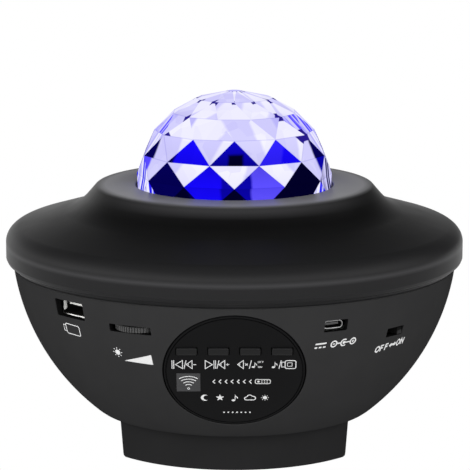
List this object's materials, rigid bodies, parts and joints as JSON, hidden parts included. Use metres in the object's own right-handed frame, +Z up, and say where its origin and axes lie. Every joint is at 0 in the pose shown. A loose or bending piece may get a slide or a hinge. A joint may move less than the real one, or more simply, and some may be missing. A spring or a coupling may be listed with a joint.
{
  "type": "night light projector",
  "caption": "Ball-shaped star projector night light on a low foot: faceted crystal dome, wide brimmed cover, slanted key panel, ports in the bowl.",
  "frame": {"origin": "centre of the footprint on the table, under the rubber pads", "axes": "+Z up, -Y towards the side with the key panel, +X to the right of it"},
  "size_m": [0.168, 0.168, 0.1315],
  "materials": {
    "case_black": "satin black moulded plastic with a fine grain",
    "cover_black": "satin dark grey to black moulded plastic",
    "crystal": "clear faceted plastic, lit white, lavender and blue from inside",
    "panel_black": "satin black plastic with white printed icons",
    "key_black": "black plastic keys",
    "ir_plastic": "dark smoky clear plastic",
    "rubber": "soft black rubber",
    "steel": "nickel plated steel",
    "white_plastic": "white moulded plastic",
    "insulator_black": "black moulded insulator",
    "board_green": "green glass fibre board",
    "chip_black": "black component packages",
    "aluminium": "bare aluminium",
    "led_white": "white board and emitters",
    "clear_optics": "clear lens plastic",
    "gear_white": "white gear plastic",
    "brass": "turned brass barrel",
    "magnet": "ferrite ring with steel plates",
    "cone_paper": "coated paper cone",
    "mask_black": "matte black plastic"
  },
  "bodies": {
    "case": {"foot_base": "case_black", "rubber_pads": "rubber", "foot_screws": "steel", "bowl_shell": "case_black", "case_screws": "steel", "top_cover": "cover_black", "crystal_dome": "crystal", "dome_retainer": "white_plastic", "retainer_screws": "steel", "control_panel": "panel_black", "key_board": "board_green", "key_switches": "chip_black", "panel_screws": "steel", "ir_window": "ir_plastic", "ir_receiver": "chip_black", "usb_shell": "steel", "usb_tongue": "white_plastic", "usb_board": "board_green", "dimmer_pot": "insulator_black", "dimmer_board": "board_green", "inlet_shell": "steel", "inlet_tongue": "insulator_black", "inlet_board": "board_green", "switch_housing": "steel", "switch_board": "board_green", "port_screws": "steel", "main_board": "board_green", "board_parts": "chip_black", "board_screws": "steel", "optics_tray": "white_plastic", "heat_sink": "aluminium", "led_board": "led_white", "led_emitters": "led_white", "led_lenses": "clear_optics", "ripple_axle": "steel", "gear_motor": "steel", "laser_module": "brass", "laser_lens": "clear_optics", "laser_holder": "insulator_black", "light_mask": "mask_black", "mask_screws": "steel", "speaker_frame": "insulator_black", "speaker_magnet": "magnet", "speaker_surround": "rubber", "speaker_gasket": "rubber", "speaker_screws": "steel"},
    "previous_key": {"key_previous": "key_black"},
    "play_key": {"key_play": "key_black"},
    "mute_key": {"key_mute": "key_black"},
    "source_key": {"key_source": "key_black"},
    "power_knob": {"switch_knob": "key_black"},
    "dimmer": {"dimmer_wheel": "key_black", "dimmer_shaft": "steel"},
    "ripple": {"ripple_disc": "clear_optics"},
    "pinion": {"motor_pinion": "gear_white"},
    "grating": {"grating_wheel": "gear_white"},
    "cone": {"speaker_cone": "cone_paper"}
  },
  "joints": [
    {"name": "previous_press", "type": "slide", "parent": "case", "child": "previous_key", "axis": [0, 0.891, 0.454], "range_m": [0, 0.0005], "stiffness_N_per_m": 1000},
    {"name": "play_press", "type": "slide", "parent": "case", "child": "play_key", "axis": [0, 0.891, 0.454], "range_m": [0, 0.0005], "stiffness_N_per_m": 1000},
    {"name": "mute_press", "type": "slide", "parent": "case", "child": "mute_key", "axis": [0, 0.891, 0.454], "range_m": [0, 0.0005], "stiffness_N_per_m": 1000},
    {"name": "source_press", "type": "slide", "parent": "case", "child": "source_key", "axis": [0, 0.891, 0.454], "range_m": [0, 0.0005], "stiffness_N_per_m": 1000},
    {"name": "power_switch", "type": "slide", "parent": "case", "child": "power_knob", "axis": [0.6959, 0.7181, 0], "range_m": [-0.0044, 0]},
    {"name": "dimmer_turn", "type": "hinge", "parent": "case", "child": "dimmer", "pos_m": [-0.03212, -0.06331, 0.0584], "axis": [0, 0, 1], "range_deg": [-150, 150]},
    {"name": "ripple_spin", "type": "hinge", "parent": "case", "child": "ripple", "pos_m": [0, 0, 0.0827], "axis": [0, 0, 1], "continuous": true},
    {"name": "pinion_spin", "type": "hinge", "parent": "case", "child": "pinion", "pos_m": [-0.03, 0, 0.0827], "axis": [0, 0, 1], "continuous": true},
    {"name": "grating_spin", "type": "hinge", "parent": "case", "child": "grating", "pos_m": [0.032, 0, 0.0827], "axis": [0, 0, 1], "continuous": true},
    {"name": "cone_move", "type": "slide", "parent": "case", "child": "cone", "axis": [0, 0, 1], "range_m": [-0.0005, 0.0005], "stiffness_N_per_m": 1500, "deforming": ["speaker_surround"]}
  ],
  "couplings": [
    {"joint": "pinion_spin", "follows": "ripple_spin", "ratio": -4},
    {"joint": "grating_spin", "follows": "ripple_spin", "ratio": -3}
  ]
}
